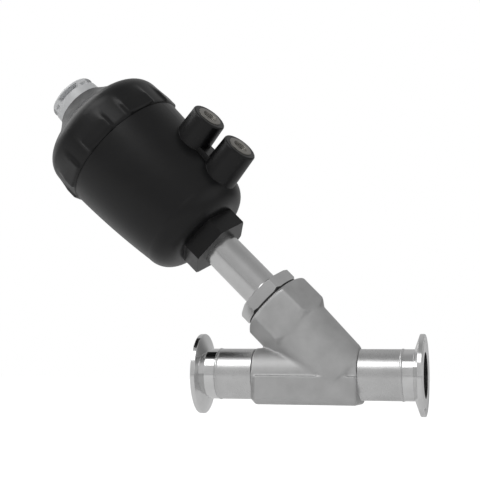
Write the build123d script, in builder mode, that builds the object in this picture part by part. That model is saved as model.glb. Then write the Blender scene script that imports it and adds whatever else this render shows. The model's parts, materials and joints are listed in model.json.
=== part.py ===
"""Angle seat valve with clamp ends and a single-acting plastic piston actuator.

Units are millimetres. The origin is the centre of the outlet ferrule's gasket face. +X runs along
the pipe to the inlet ferrule and +Z is up. The stem leans back over the outlet, in the XZ plane.
Heights of everything on the stem are measured along the stem axis, from its crossing with the pipe
axis. Heights inside the actuator are measured from the underside of its hexagon.
"""

import os
from math import cos, radians, sin, tan

from build123d import *

os.makedirs("parts", exist_ok=True)

# ---------------------------------------------------------------- layout
OUTLET_REACH = 92.8  # outlet face to the crossing of the two axes
INLET_REACH = 50.2  # crossing of the two axes to the inlet face
STEM_ANGLE = 45.0  # stem axis above the pipe axis
PORT_TURN = 18.9  # air ports turned out of the vertical plane, as delivered
ACTUATOR_HEIGHT = 114.7  # crossing of the axes to the underside of the actuator
STROKE = 14.0

# ---------------------------------------------------------------- fits
RUNNING_GAP = 0.05  # radial, shafts in bushes and the actuator on its yoke
SLIDING_GAP = 0.3  # radial, pieces that pass each other without guiding
THREAD_GAP = 0.05  # radial, screwed joints drawn at their mean diameter
FITTED_GAP = 0.02  # radial, pieces pressed or bonded together
PACKING_RING_GAP = 0.02  # between one packing ring and the next
SEAL_GAP = 0.05  # radial, seals against a wall that moves past them

# ---------------------------------------------------------------- pipe ends
TUBE_OD = 31.8
TUBE_WALL = 1.7
FERRULE_OD = 50.5
FERRULE_LENGTH = 12.7
FERRULE_RIM = 2.85
FERRULE_BACK_ANGLE = 20.0
FERRULE_EDGE = 0.5
GROOVE_DIAMETER = 43.5
GROOVE_WIDTH = 3.2
GROOVE_DEPTH = 1.3
WELD_PROUD = 0.35
WELD_WIDTH = 1.8

# ---------------------------------------------------------------- cast body
BODY_OUTLET_SIDE = 56.5  # crossing to the body's outlet end
BODY_INLET_SIDE = 10.3  # crossing to the body's inlet end
RUN_OD = 32.6
RUN_BORE = 28.0
BAND_WIDTH = 36.0
BAND_LEDGE = -1.0
BAND_BOTTOM = -18.6
BAND_CORNER = 4.6
BAND_OUTLET_CHAMFER = 3.4
BAND_INLET_CHAMFER = 1.2
BRANCH_TOP_RADIUS = 21.0
BRANCH_FOOT_RADIUS = 19.3
COLLAR_FLATS = 43.0
COLLAR_FOOT = 43.5
COLLAR_TOP = 63.8
COLLAR_TOP_CHAMFER = 3.6
COLLAR_FOOT_CHAMFER = 3.6
CHAMBER_RADIUS = 16.6
COLLAR_THREAD_RADIUS = 17.6
COLLAR_THREAD_DEPTH = 18.0
SEAT_FLOOR = 8.0
SEAT_WEB = 4.0
SEAT_RADIUS = 12.0
SEAT_LIP_HEIGHT = 1.2
SEAT_LIP_WIDTH = 1.3

# ---------------------------------------------------------------- bonnet and yoke
BONNET_GASKET_RADIUS = 19.6
BONNET_GASKET_THICKNESS = 1.3
BONNET_FLATS = 36.0
BONNET_HEX_HEIGHT = 8.4
BONNET_CHAMFER = 1.6
BONNET_SPIGOT_LENGTH = 16.0
STEM_RADIUS = 5.0
GUIDE_BUSH_RADIUS = 7.0
GUIDE_BUSH_LENGTH = 5.5
PACKING_RADIUS = 8.5
PACKING_SPRING_HEIGHT = 4.4
PACKING_SPRING_WIRE = 0.9
PACKING_SPRING_TURNS = 3.0
PACKING_WASHER_THICKNESS = 1.2
PACKING_RING_COUNT = 5
PACKING_RING_HEIGHT = 1.3
PACKING_RING_VEE = 0.8
YOKE_RADIUS = 12.0
YOKE_WALL = 2.6
YOKE_THREAD_LENGTH = 4.2
YOKE_SHOULDER_RADIUS = 6.4
YOKE_SHOULDER_HEIGHT = 3.0
YOKE_FOOT_FILLET = 2.2
YOKE_SEAT_DEPTH = 3.0  # the yoke's step, up inside the actuator
YOKE_NECK_RADIUS = 10.4
YOKE_BUSH_RADIUS = 7.4
YOKE_BUSH_LENGTH = 8.0
YOKE_END_LAND = 1.5
YOKE_SEAL_HEIGHT = 9.0  # yoke seal above the actuator's underside
THRUST_WASHER_RADIUS = 15.0
THRUST_WASHER_THICKNESS = 1.0
CIRCLIP_THICKNESS = 1.2
CIRCLIP_RADIUS = 12.4
CIRCLIP_DEPTH = 0.8
CIRCLIP_OPENING = 50.0
SEAL_SECTION = 0.9  # radius of the small O-rings
SEAL_GROOVE_WIDTH = 2.4

# ---------------------------------------------------------------- plug
PLUG_RADIUS = 15.0
PLUG_HEIGHT = 11.0
PLUG_SHOULDER = 6.5
PLUG_NECK_RADIUS = 8.5
PLUG_SOCKET_DEPTH = 8.0
SEAT_SEAL_THICKNESS = 3.0
SEAT_SEAL_RADIUS = 14.2
SEAL_RETAINER_RADIUS = 10.0
SEAL_RETAINER_HEIGHT = 3.0
PLUG_NUT_FLATS = 10.0
PLUG_NUT_HEIGHT = 4.0
PLUG_STUD_RADIUS = 3.0
PLUG_STUD_PROUD = 0.6
PLUG_PIN_RADIUS = 1.5

# ---------------------------------------------------------------- actuator housings
HEX_FLATS = 39.4
HEX_HEIGHT = 12.2
HEX_TURN = 15.0  # a corner of the hexagon, turned from the air ports
HEX_CHAMFER = 0.8
BOWL_FILLET = 15.0
SHELL_FOOT_RADIUS = 38.1
SHELL_TOP_RADIUS = 43.9
SHELL_BULGE = 1.0  # how far the moulded side stands out of a straight taper
SEAM_HEIGHT = 92.3
CYLINDER_RADIUS = 35.0
CYLINDER_FLOOR = 18.8
CYLINDER_FLOOR_FILLET = 7.0
PISTON_HEADROOM = 6.3  # cylinder wall above the piston's rim when the valve is open
HUB_RADIUS = 18.0
HUB_RISE = 3.5  # hub above the cylinder floor
UPPER_BORE_RADIUS = 37.6
SPIGOT_RADIUS = 40.9
SPIGOT_HEIGHT = 14.0
SPIGOT_SEAL_HEIGHT = 10.5
SKIRT_RADIUS = 44.6
SKIRT_LIP = 0.8
SKIRT_HEIGHT = 19.0  # seam to the dome's shoulder
DOME_SHOULDER_FILLET = 12.3
DOME_SHOULDER_SWEEP = 62.0
DOME_HEIGHT = 27.2  # shoulder to the seat of the indicator cap
DOME_TOP_RADIUS = 17.8
CROWN_THICKNESS = 16.0
CEILING_FILLET = 7.6
GRIP_COUNT = 8
GRIP_WIDTH = 22.0
GRIP_REACH = 45.2  # flat face of a grip pad from the stem axis
GRIP_THICKNESS = 6.0
GRIP_FOOT_GAP = 1.1  # seam to the foot of a grip pad
GRIP_LENGTH = 18.4
GRIP_TOP_LEAN = 30.0
GRIP_EDGE = 0.6
BOSS_RADIUS = 11.6
BOSS_FLARE = 0.9
BOSS_REACH = 60.0
BOSS_EDGE = 1.2
LOWER_PORT_HEIGHT = 30.8
PORT_SPACING = 28.8
WEB_REACH = 43.2
WEB_WIDTH = 15.0
INSERT_RADIUS = 8.1
INSERT_LENGTH = 13.0
INSERT_COLLAR_HEIGHT = 0.6
PORT_THREAD_RADIUS = 4.43
PORT_COUNTERSINK_RADIUS = 5.2
AIRWAY_RADIUS = 2.2

# ---------------------------------------------------------------- piston and springs
PISTON_CLEARANCE = 1.6  # piston hub above the end of the yoke, valve closed
PISTON_HUB_HEIGHT = 13.0
PISTON_HUB_RADIUS = 12.0
PISTON_PORT_GAP = 0.5  # piston's rim above the lower airway, valve closed
PISTON_WEB_STEP = 0.8  # web above the foot of the rim
PISTON_WEB_THICKNESS = 5.0
PISTON_RIM_WIDTH = 7.0
PISTON_LAND = 1.3
PISTON_GROOVE_DEPTH = 2.8
PISTON_SEAL_HEIGHT = 3.2
PISTON_SEAL_LIP = 1.2
PISTON_GUIDE_HEIGHT = 2.2
PISTON_STUD_RADIUS = 4.0
PISTON_WASHER_RADIUS = 8.5
PISTON_WASHER_THICKNESS = 1.5
PISTON_NUT_FLATS = 13.0
PISTON_NUT_HEIGHT = 6.5
STUD_PROUD = 2.0
OUTER_SPRING_RADIUS = 24.6
OUTER_SPRING_WIRE = 4.0
OUTER_SPRING_TURNS = 6.0
INNER_SPRING_RADIUS = 17.4
INNER_SPRING_WIRE = 3.0
INNER_SPRING_TURNS = 8.0
SPRING_PLATE_RADIUS = 28.5
SPRING_PLATE_THICKNESS = 1.5
INDICATOR_SOCKET_RADIUS = 6.0
INDICATOR_SOCKET_HEIGHT = 6.0
INDICATOR_ROD_RADIUS = 3.2
INDICATOR_TIP_RADIUS = 4.6
INDICATOR_TIP_LENGTH = 9.0
INDICATOR_TIP_EDGE = 0.8

# ---------------------------------------------------------------- indicator cap
CAP_FOOT_RADIUS = 17.2
CAP_TOP_RADIUS = 16.4
CAP_HEIGHT = 11.6
CAP_WALL = 2.4
CAP_EDGE = 1.2
CAP_SPIGOT_RADIUS = 12.0
CAP_SPIGOT_LENGTH = 7.0

# ---------------------------------------------------------------- worked-out places
tube_radius = TUBE_OD / 2
tube_bore_radius = tube_radius - TUBE_WALL
inlet_face = OUTLET_REACH + INLET_REACH
body_start = OUTLET_REACH - BODY_OUTLET_SIDE
body_end = OUTLET_REACH + BODY_INLET_SIDE
seat_top = SEAT_FLOOR + SEAT_LIP_HEIGHT
plug_foot = seat_top + SEAT_SEAL_THICKNESS
bonnet_seat = COLLAR_TOP + BONNET_GASKET_THICKNESS
bonnet_foot = bonnet_seat - BONNET_SPIGOT_LENGTH
bonnet_top = bonnet_seat + BONNET_HEX_HEIGHT
yoke_foot = bonnet_top - YOKE_THREAD_LENGTH
packing_floor = bonnet_foot + GUIDE_BUSH_LENGTH
packing_washer_foot = packing_floor + PACKING_SPRING_HEIGHT
packing_foot = packing_washer_foot + PACKING_WASHER_THICKNESS
packing_top = packing_foot + PACKING_RING_COUNT * PACKING_RING_HEIGHT
hub_top = CYLINDER_FLOOR + HUB_RISE
circlip_foot = hub_top + THRUST_WASHER_THICKNESS
yoke_end = circlip_foot + CIRCLIP_THICKNESS + YOKE_END_LAND
piston_foot = yoke_end + PISTON_CLEARANCE
piston_top = piston_foot + PISTON_HUB_HEIGHT
piston_nut_foot = piston_top + PISTON_WASHER_THICKNESS
stud_top = piston_nut_foot + PISTON_NUT_HEIGHT + STUD_PROUD
piston_rim_foot = LOWER_PORT_HEIGHT + AIRWAY_RADIUS + PISTON_PORT_GAP
piston_web_foot = piston_rim_foot + PISTON_WEB_STEP
piston_web_top = piston_web_foot + PISTON_WEB_THICKNESS
piston_radius = CYLINDER_RADIUS - SLIDING_GAP
piston_seal_foot = piston_rim_foot + PISTON_LAND
piston_guide_foot = piston_seal_foot + PISTON_SEAL_HEIGHT + PISTON_LAND
piston_rim_top = piston_guide_foot + PISTON_GUIDE_HEIGHT + PISTON_LAND
piston_groove_radius = CYLINDER_RADIUS - PISTON_GROOVE_DEPTH
cylinder_top = piston_rim_top + STROKE + PISTON_HEADROOM
upper_port_height = LOWER_PORT_HEIGHT + PORT_SPACING
shoulder_height = SEAM_HEIGHT + SKIRT_HEIGHT
dome_top = shoulder_height + DOME_HEIGHT
ceiling_height = dome_top - CROWN_THICKNESS
grip_bottom = SEAM_HEIGHT + GRIP_FOOT_GAP
grip_top = grip_bottom + GRIP_LENGTH
spring_plate_foot = ceiling_height - SPRING_PLATE_THICKNESS
cap_top = dome_top + CAP_HEIGHT
cap_ceiling = cap_top - CAP_WALL
indicator_top = cap_ceiling - STROKE - CAP_WALL / 2
indicator_tip_foot = indicator_top - INDICATOR_TIP_LENGTH
spigot_top = SEAM_HEIGHT + SPIGOT_HEIGHT
cap_seal_inner = CAP_SPIGOT_RADIUS + FITTED_GAP

lean = radians(STEM_ANGLE)
turn = radians(PORT_TURN)
crossing = Vector(OUTLET_REACH, 0, 0)
stem_direction = Vector(-cos(lean), 0, sin(lean))
across_stem = Vector(sin(lean), 0, cos(lean))
port_direction = across_stem * cos(turn) + Vector(0, -1, 0) * sin(turn)
actuator_foot = crossing + stem_direction * ACTUATOR_HEIGHT

STEM_AXIS = Axis(crossing, stem_direction)
STEM = Plane(origin=crossing, x_dir=across_stem, z_dir=stem_direction)
STEM_SECTION = Plane(origin=crossing, x_dir=across_stem, z_dir=(0, -1, 0))
ACTUATOR = Plane(origin=actuator_foot, x_dir=port_direction, z_dir=stem_direction)
ACTUATOR_SECTION = Plane(
    origin=actuator_foot, x_dir=port_direction, z_dir=port_direction.cross(stem_direction)
)


# ---------------------------------------------------------------- helpers
def finish(piece, name):
    """Names a finished piece and writes it."""
    piece.part.label = name
    export_step(piece.part, f"parts/{name}.step")


def turned(outline, plane=STEM_SECTION):
    """A piece turned about the stem axis from its half section, given as (radius, height)."""
    with BuildPart() as piece:
        with BuildSketch(plane):
            with BuildLine():
                Polyline(*outline, close=True)
            make_face()
        revolve(axis=STEM_AXIS)
    return piece


def sleeve(inner, outer, low, high, plane=STEM_SECTION):
    """A plain ring on the stem axis."""
    return turned([(inner, low), (outer, low), (outer, high), (inner, high)], plane)


def o_ring(inner, outer, height, plane=STEM_SECTION):
    """A seal ring of round section on the stem axis, fitted between two radii."""
    with BuildPart() as piece:
        with BuildSketch(plane):
            with Locations(((inner + outer) / 2, height)):
                Circle((outer - inner) / 2)
        revolve(axis=STEM_AXIS)
    return piece


def coil(mean_radius, wire, turns, low, high, plane=STEM):
    """A helical compression spring with ground ends, between two heights on the stem axis."""
    base = plane.offset(low)
    with BuildPart() as piece:
        with BuildLine() as path:
            Helix(
                pitch=(high - low) / turns,
                height=high - low,
                radius=mean_radius,
                center=base.origin,
                direction=base.z_dir,
            )
        with BuildSketch(Plane(origin=path.line @ 0, z_dir=path.line % 0)):
            Circle(wire / 2)
        sweep(path=path.line, is_frenet=True)
        split(bisect_by=base, keep=Keep.TOP)
        split(bisect_by=plane.offset(high), keep=Keep.BOTTOM)
    return piece


def hexagon(flats, low, high, chamfer_size, plane=STEM, section=STEM_SECTION, rotation=0.0):
    """A hexagonal prism on the stem axis with a turned chamfer on the corners of both ends."""
    apothem = flats / 2
    corner = apothem / cos(radians(30))
    rise = chamfer_size * tan(radians(30))
    with BuildPart() as piece:
        with BuildSketch(plane.offset(low)):
            RegularPolygon(apothem, 6, major_radius=False, rotation=rotation)
        extrude(amount=high - low)
        with BuildSketch(section):
            with BuildLine():
                Polyline(
                    (0, low),
                    (corner - chamfer_size, low),
                    (corner, low + rise),
                    (corner, high - rise),
                    (corner - chamfer_size, high),
                    (0, high),
                    close=True,
                )
            make_face()
        revolve(axis=STEM_AXIS, mode=Mode.INTERSECT)
    return piece


def hexagon_nut(flats, bore, low, high, plane=STEM, section=STEM_SECTION):
    """A plain nut on the stem axis."""
    blank = hexagon(flats, low, high, flats * 0.06, plane, section)
    with BuildPart() as piece:
        add(blank.part)
        with BuildSketch(plane.offset(low)):
            Circle(bore)
        extrude(amount=high - low, mode=Mode.SUBTRACT)
    return piece


# ---------------------------------------------------------------- ferrules and tubes
def ferrule(face, inward):
    """A clamp ferrule whose gasket face is at X = face; inward is +1 or -1 along X."""
    rim_radius = FERRULE_OD / 2
    cone = (rim_radius - tube_radius) * tan(radians(FERRULE_BACK_ANGLE))
    with BuildPart() as piece:
        with BuildSketch(Plane.XZ) as section:
            with BuildLine():
                Polyline(
                    (face, tube_bore_radius),
                    (face, rim_radius),
                    (face + inward * FERRULE_RIM, rim_radius),
                    (face + inward * (FERRULE_RIM + cone), tube_radius),
                    (face + inward * FERRULE_LENGTH, tube_radius),
                    (face + inward * FERRULE_LENGTH, tube_bore_radius),
                    close=True,
                )
            make_face()
            rim_corners = section.vertices().group_by(Axis.Y)[-1]
            fillet(rim_corners, FERRULE_EDGE)
            with Locations((face, GROOVE_DIAMETER / 2)):
                Ellipse(GROOVE_DEPTH, GROOVE_WIDTH / 2, mode=Mode.SUBTRACT)
        revolve(axis=Axis.X)
    return piece


def tube_stub(start, end, weld_at):
    """A short welded tube with its ground weld seam against the ferrule."""
    with BuildPart() as piece:
        with BuildSketch(Plane.YZ.offset(start)):
            Circle(tube_radius)
            Circle(tube_bore_radius, mode=Mode.SUBTRACT)
        extrude(amount=end - start)
        inward = 1 if weld_at == start else -1
        with BuildSketch(Plane.XZ):
            with BuildLine():
                ThreePointArc(
                    (weld_at, tube_radius),
                    (weld_at + inward * WELD_WIDTH / 2, tube_radius + WELD_PROUD),
                    (weld_at + inward * WELD_WIDTH, tube_radius),
                )
                Line((weld_at + inward * WELD_WIDTH, tube_radius), (weld_at, tube_radius))
            make_face()
        revolve(axis=Axis.X)
    return piece


outlet_ferrule = ferrule(0, 1)
finish(outlet_ferrule, "outlet_ferrule")

inlet_ferrule = ferrule(inlet_face, -1)
finish(inlet_ferrule, "inlet_ferrule")

outlet_tube = tube_stub(FERRULE_LENGTH, body_start, FERRULE_LENGTH)
finish(outlet_tube, "outlet_tube")

inlet_tube = tube_stub(body_end, inlet_face - FERRULE_LENGTH, inlet_face - FERRULE_LENGTH)
finish(inlet_tube, "inlet_tube")

# ---------------------------------------------------------------- cast body
with BuildPart() as collar:
    collar_apothem = COLLAR_FLATS / 2
    collar_corner = collar_apothem / cos(radians(30))
    with BuildSketch(STEM.offset(COLLAR_FOOT - COLLAR_FOOT_CHAMFER)):
        RegularPolygon(collar_apothem, 6, major_radius=False)
    extrude(amount=COLLAR_TOP - COLLAR_FOOT + COLLAR_FOOT_CHAMFER)
    with BuildSketch(STEM_SECTION):
        with BuildLine():
            Polyline(
                (0, COLLAR_FOOT - COLLAR_FOOT_CHAMFER),
                (collar_corner - COLLAR_FOOT_CHAMFER, COLLAR_FOOT - COLLAR_FOOT_CHAMFER),
                (collar_corner, COLLAR_FOOT),
                (collar_corner, COLLAR_TOP - COLLAR_TOP_CHAMFER * tan(radians(30))),
                (collar_corner - COLLAR_TOP_CHAMFER, COLLAR_TOP),
                (0, COLLAR_TOP),
                close=True,
            )
        make_face()
    revolve(axis=STEM_AXIS, mode=Mode.INTERSECT)

with BuildPart() as branch:
    foot_rise = BRANCH_FOOT_RADIUS / 2
    with BuildSketch(STEM_SECTION):
        with BuildLine():
            Polyline(
                (BRANCH_FOOT_RADIUS, 0),
                (BRANCH_TOP_RADIUS, COLLAR_FOOT),
                (0, COLLAR_FOOT),
                (0, -foot_rise),
            )
            RadiusArc((BRANCH_FOOT_RADIUS, 0), (0, -foot_rise), BRANCH_FOOT_RADIUS + 5)
        make_face()
    revolve(axis=STEM_AXIS)
    split(bisect_by=Plane.YZ.offset(body_end), keep=Keep.BOTTOM)

with BuildPart() as band:
    band_height = BAND_LEDGE - BAND_BOTTOM
    with BuildSketch(Plane.YZ.offset(body_start)) as band_section:
        with Locations((0, BAND_LEDGE - band_height / 2)):
            Rectangle(BAND_WIDTH, band_height)
        fillet(band_section.vertices().group_by(Axis.Y)[0], BAND_CORNER)
    extrude(amount=body_end - body_start)
    outlet_rim = band.faces().sort_by(Axis.X)[0].edges().group_by(Axis.Z)[:-1]
    chamfer([edge for group in outlet_rim for edge in group], BAND_OUTLET_CHAMFER)
    inlet_rim = band.faces().sort_by(Axis.X)[-1].edges().group_by(Axis.Z)[:-1]
    chamfer([edge for group in inlet_rim for edge in group], BAND_INLET_CHAMFER)

with BuildPart() as outlet_passage:
    with BuildSketch(Plane.YZ.offset(body_start)):
        Circle(RUN_BORE / 2)
    extrude(amount=body_end - body_start)
    split(bisect_by=STEM.offset(SEAT_FLOOR), keep=Keep.TOP)

with BuildPart() as inlet_passage:
    with BuildSketch(Plane.YZ.offset(body_start + BODY_OUTLET_SIDE / 2)):
        Circle(RUN_BORE / 2)
    extrude(amount=body_end - body_start - BODY_OUTLET_SIDE / 2)
    split(bisect_by=STEM.offset(SEAT_FLOOR - SEAT_WEB), keep=Keep.BOTTOM)

with BuildPart() as valve_body:
    with BuildSketch(Plane.YZ.offset(body_start)):
        Circle(RUN_OD / 2)
    extrude(amount=body_end - body_start)
    add(band.part)
    add(branch.part)
    add(collar.part)
    with BuildSketch(STEM.offset(SEAT_FLOOR)):
        Circle(CHAMBER_RADIUS)
    extrude(amount=COLLAR_TOP - SEAT_FLOOR, mode=Mode.SUBTRACT)
    with BuildSketch(STEM.offset(COLLAR_TOP)):
        Circle(COLLAR_THREAD_RADIUS)
    extrude(amount=-COLLAR_THREAD_DEPTH, mode=Mode.SUBTRACT)
    add(outlet_passage.part, mode=Mode.SUBTRACT)
    add(inlet_passage.part, mode=Mode.SUBTRACT)
    with BuildSketch(STEM.offset(SEAT_FLOOR - SEAT_WEB)):
        Circle(SEAT_RADIUS + SEAT_LIP_WIDTH)
    extrude(amount=SEAT_WEB + SEAT_LIP_HEIGHT)
    with BuildSketch(STEM.offset(SEAT_FLOOR - SEAT_WEB)):
        Circle(SEAT_RADIUS)
    extrude(amount=SEAT_WEB + SEAT_LIP_HEIGHT, mode=Mode.SUBTRACT)
finish(valve_body, "valve_body")

# ---------------------------------------------------------------- bonnet
bonnet_gasket = sleeve(
    COLLAR_THREAD_RADIUS + FITTED_GAP, BONNET_GASKET_RADIUS, COLLAR_TOP, bonnet_seat
)
finish(bonnet_gasket, "bonnet_gasket")

bonnet_hex = hexagon(BONNET_FLATS, bonnet_seat, bonnet_top, BONNET_CHAMFER)

with BuildPart() as bonnet_nut:
    add(bonnet_hex.part)
    with BuildSketch(STEM.offset(bonnet_foot)) as spigot_foot:
        Circle(COLLAR_THREAD_RADIUS - THREAD_GAP)
    extrude(amount=BONNET_SPIGOT_LENGTH)
    chamfer(bonnet_nut.edges().filter_by(GeomType.CIRCLE).sort_by(STEM_AXIS)[0], BONNET_CHAMFER)
    with BuildSketch(STEM.offset(bonnet_foot)):
        Circle(GUIDE_BUSH_RADIUS)
    extrude(amount=GUIDE_BUSH_LENGTH, mode=Mode.SUBTRACT)
    with BuildSketch(STEM.offset(packing_floor)):
        Circle(PACKING_RADIUS)
    extrude(amount=bonnet_top - packing_floor, mode=Mode.SUBTRACT)
    with BuildSketch(STEM.offset(yoke_foot)):
        Circle(YOKE_RADIUS)
    extrude(amount=YOKE_THREAD_LENGTH, mode=Mode.SUBTRACT)
finish(bonnet_nut, "bonnet_nut")

guide_bush = sleeve(
    STEM_RADIUS + RUNNING_GAP, GUIDE_BUSH_RADIUS - FITTED_GAP, bonnet_foot, packing_floor
)
finish(guide_bush, "guide_bush")

# ---------------------------------------------------------------- stem packing
packing_inner = STEM_RADIUS + SEAL_GAP
packing_outer = PACKING_RADIUS - FITTED_GAP

packing_spring = coil(
    (packing_inner + packing_outer) / 2,
    PACKING_SPRING_WIRE,
    PACKING_SPRING_TURNS,
    packing_floor,
    packing_washer_foot,
)
finish(packing_spring, "packing_spring")

packing_washer = sleeve(packing_inner, packing_outer, packing_washer_foot, packing_foot)
finish(packing_washer, "packing_washer")

with BuildPart() as packing_rings:
    packing_middle = (packing_inner + packing_outer) / 2
    for ring in range(PACKING_RING_COUNT):
        ring_foot = packing_foot + ring * PACKING_RING_HEIGHT
        ring_crest = ring_foot + PACKING_RING_HEIGHT - PACKING_RING_GAP
        with BuildSketch(STEM_SECTION):
            with BuildLine():
                Polyline(
                    (packing_inner, ring_foot),
                    (packing_middle, ring_foot + PACKING_RING_VEE),
                    (packing_outer, ring_foot),
                    (packing_outer, ring_crest),
                    (packing_middle, ring_crest + PACKING_RING_VEE),
                    (packing_inner, ring_crest),
                    close=True,
                )
            make_face()
        revolve(axis=STEM_AXIS)
finish(packing_rings, "packing_rings")

gland_ring = turned(
    [
        (packing_inner, packing_top),
        (packing_middle, packing_top + PACKING_RING_VEE),
        (packing_outer, packing_top),
        (packing_outer, yoke_foot),
        (packing_inner, yoke_foot),
    ]
)
finish(gland_ring, "gland_ring")

# ---------------------------------------------------------------- yoke
with BuildPart() as yoke_tube:
    yoke_step = ACTUATOR_HEIGHT + YOKE_SEAT_DEPTH
    yoke_top = ACTUATOR_HEIGHT + yoke_end
    yoke_thread_radius = YOKE_RADIUS - THREAD_GAP
    groove_foot = ACTUATOR_HEIGHT + circlip_foot
    groove_radius = YOKE_NECK_RADIUS - CIRCLIP_DEPTH
    with BuildSketch(STEM_SECTION):
        with BuildLine():
            Polyline(
                (yoke_thread_radius, bonnet_top),
                (yoke_thread_radius, yoke_foot),
                (YOKE_SHOULDER_RADIUS, yoke_foot),
                (YOKE_SHOULDER_RADIUS, yoke_foot + YOKE_SHOULDER_HEIGHT),
                (YOKE_RADIUS - YOKE_WALL, yoke_foot + YOKE_SHOULDER_HEIGHT),
                (YOKE_RADIUS - YOKE_WALL, ACTUATOR_HEIGHT - YOKE_WALL),
                (YOKE_BUSH_RADIUS, ACTUATOR_HEIGHT),
                (YOKE_BUSH_RADIUS, yoke_top),
                (YOKE_NECK_RADIUS, yoke_top),
                (YOKE_NECK_RADIUS, groove_foot + CIRCLIP_THICKNESS),
                (groove_radius, groove_foot + CIRCLIP_THICKNESS),
                (groove_radius, groove_foot),
                (YOKE_NECK_RADIUS, groove_foot),
                (YOKE_NECK_RADIUS, yoke_step),
                (YOKE_RADIUS, yoke_step),
                (YOKE_RADIUS, bonnet_top + YOKE_FOOT_FILLET),
            )
            foot_fillet = RadiusArc(
                (YOKE_RADIUS, bonnet_top + YOKE_FOOT_FILLET),
                (YOKE_RADIUS + YOKE_FOOT_FILLET, bonnet_top),
                -YOKE_FOOT_FILLET,
            )
            Line(foot_fillet @ 1, (yoke_thread_radius, bonnet_top))
        make_face()
    revolve(axis=STEM_AXIS)
finish(yoke_tube, "yoke_tube")

yoke_bush = sleeve(
    STEM_RADIUS + RUNNING_GAP,
    YOKE_BUSH_RADIUS - FITTED_GAP,
    yoke_top - YOKE_BUSH_LENGTH,
    yoke_top,
)
finish(yoke_bush, "yoke_bush")

stem_seal = o_ring(
    STEM_RADIUS + SEAL_GAP,
    YOKE_BUSH_RADIUS - FITTED_GAP,
    yoke_top - YOKE_BUSH_LENGTH - YOKE_BUSH_RADIUS + STEM_RADIUS,
)
finish(stem_seal, "stem_seal")

thrust_washer = sleeve(
    YOKE_NECK_RADIUS + FITTED_GAP, THRUST_WASHER_RADIUS, hub_top, circlip_foot, ACTUATOR_SECTION
)
finish(thrust_washer, "thrust_washer")

with BuildPart() as yoke_circlip:
    with BuildSketch(ACTUATOR.offset(circlip_foot)):
        Circle(CIRCLIP_RADIUS)
        Circle(YOKE_NECK_RADIUS - CIRCLIP_DEPTH + FITTED_GAP, mode=Mode.SUBTRACT)
        with BuildLine():
            opening_reach = CIRCLIP_RADIUS * 2
            opening_half = opening_reach * tan(radians(CIRCLIP_OPENING / 2))
            Polyline(
                (0, 0), (opening_reach, opening_half), (opening_reach, -opening_half), close=True
            )
        make_face(mode=Mode.SUBTRACT)
    extrude(amount=CIRCLIP_THICKNESS)
finish(yoke_circlip, "yoke_circlip")

# ---------------------------------------------------------------- plug and stem
retainer_foot = seat_top - SEAL_RETAINER_HEIGHT
plug_nut_foot = retainer_foot - PLUG_NUT_HEIGHT
socket_foot = plug_foot + PLUG_HEIGHT - PLUG_SOCKET_DEPTH
pin_height = socket_foot + PLUG_SOCKET_DEPTH / 2
pin_plane = Plane(
    origin=crossing + stem_direction * pin_height, x_dir=stem_direction, z_dir=(0, 1, 0)
)
pin_reach = PLUG_RADIUS - PLUG_PIN_RADIUS

seat_seal = sleeve(PLUG_STUD_RADIUS + FITTED_GAP, SEAT_SEAL_RADIUS, seat_top, plug_foot)
finish(seat_seal, "seat_seal")

seal_retainer = sleeve(
    PLUG_STUD_RADIUS + FITTED_GAP, SEAL_RETAINER_RADIUS, retainer_foot, seat_top
)
finish(seal_retainer, "seal_retainer")

plug_nut = hexagon_nut(
    PLUG_NUT_FLATS, PLUG_STUD_RADIUS + FITTED_GAP, plug_nut_foot, retainer_foot
)
finish(plug_nut, "plug_nut")

with BuildPart() as plug:
    plug_top = plug_foot + PLUG_HEIGHT
    plug_shoulder = plug_foot + PLUG_SHOULDER
    with BuildSketch(STEM_SECTION):
        with BuildLine():
            Polyline(
                (0, plug_nut_foot - PLUG_STUD_PROUD),
                (PLUG_STUD_RADIUS, plug_nut_foot - PLUG_STUD_PROUD),
                (PLUG_STUD_RADIUS, plug_foot),
                (PLUG_RADIUS, plug_foot),
                (PLUG_RADIUS, plug_shoulder),
                (PLUG_NECK_RADIUS, plug_top),
                (STEM_RADIUS + FITTED_GAP, plug_top),
                (STEM_RADIUS + FITTED_GAP, socket_foot),
                (0, socket_foot),
                close=True,
            )
        make_face()
    revolve(axis=STEM_AXIS)
    with BuildSketch(pin_plane):
        Circle(PLUG_PIN_RADIUS + FITTED_GAP)
    extrude(amount=PLUG_RADIUS, both=True, mode=Mode.SUBTRACT)
finish(plug, "plug")

with BuildPart() as stem:
    stud_foot = ACTUATOR_HEIGHT + piston_foot
    with BuildSketch(STEM_SECTION):
        with BuildLine():
            Polyline(
                (0, socket_foot),
                (STEM_RADIUS, socket_foot),
                (STEM_RADIUS, stud_foot),
                (PISTON_STUD_RADIUS, stud_foot),
                (PISTON_STUD_RADIUS, ACTUATOR_HEIGHT + stud_top),
                (0, ACTUATOR_HEIGHT + stud_top),
                close=True,
            )
        make_face()
    revolve(axis=STEM_AXIS)
    with BuildSketch(pin_plane):
        Circle(PLUG_PIN_RADIUS + FITTED_GAP)
    extrude(amount=STEM_RADIUS, both=True, mode=Mode.SUBTRACT)
finish(stem, "stem")

with BuildPart() as plug_pin:
    pin_length_each_way = (PLUG_RADIUS + PLUG_NECK_RADIUS) / 2 - PLUG_PIN_RADIUS
    with BuildSketch(pin_plane):
        Circle(PLUG_PIN_RADIUS)
    extrude(amount=pin_length_each_way, both=True)
finish(plug_pin, "plug_pin")

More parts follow.
